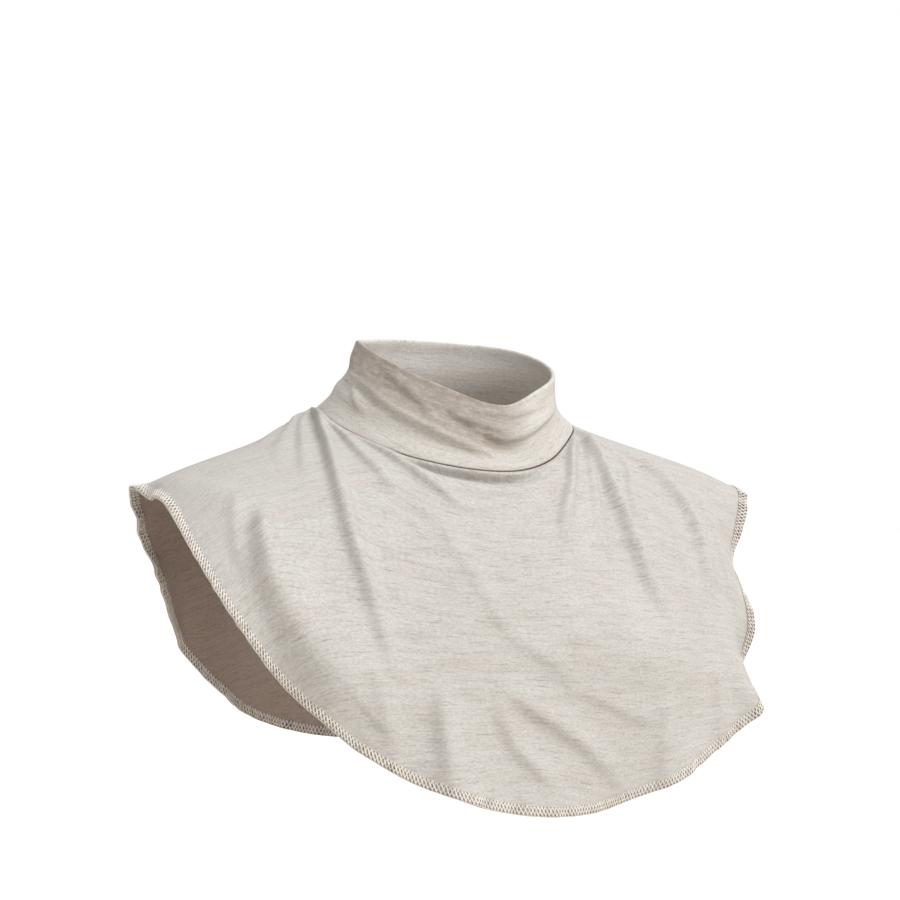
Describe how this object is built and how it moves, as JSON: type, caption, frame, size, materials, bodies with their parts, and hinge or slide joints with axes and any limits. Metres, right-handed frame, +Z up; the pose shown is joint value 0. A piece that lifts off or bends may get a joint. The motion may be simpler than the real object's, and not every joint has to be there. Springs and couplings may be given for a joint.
{
  "type": "neck cover",
  "caption": "Pull-on jersey neck cover: a short stand-up turtleneck collar over a draped sleeveless cape with an overlocked edge.",
  "frame": {"origin": "middle of the neck seam, where the cover sits round the neck", "axes": "+Z up, -Y towards the wearer's front, +X towards the wearer's left"},
  "size_m": [0.4878, 0.2531, 0.3218],
  "materials": {
    "collar_jersey": "fine heather jersey, two layers folded over at the rim, soft and matt, oatmeal",
    "cape_jersey": "fine heather jersey with short darker level streaks, soft and matt, oatmeal",
    "hem_overlock": "dense overlock stitching in matt oatmeal thread"
  },
  "bodies": {
    "root": {"collar": "collar_jersey", "cape": "cape_jersey", "hem": "hem_overlock"}
  },
  "joints": []
}
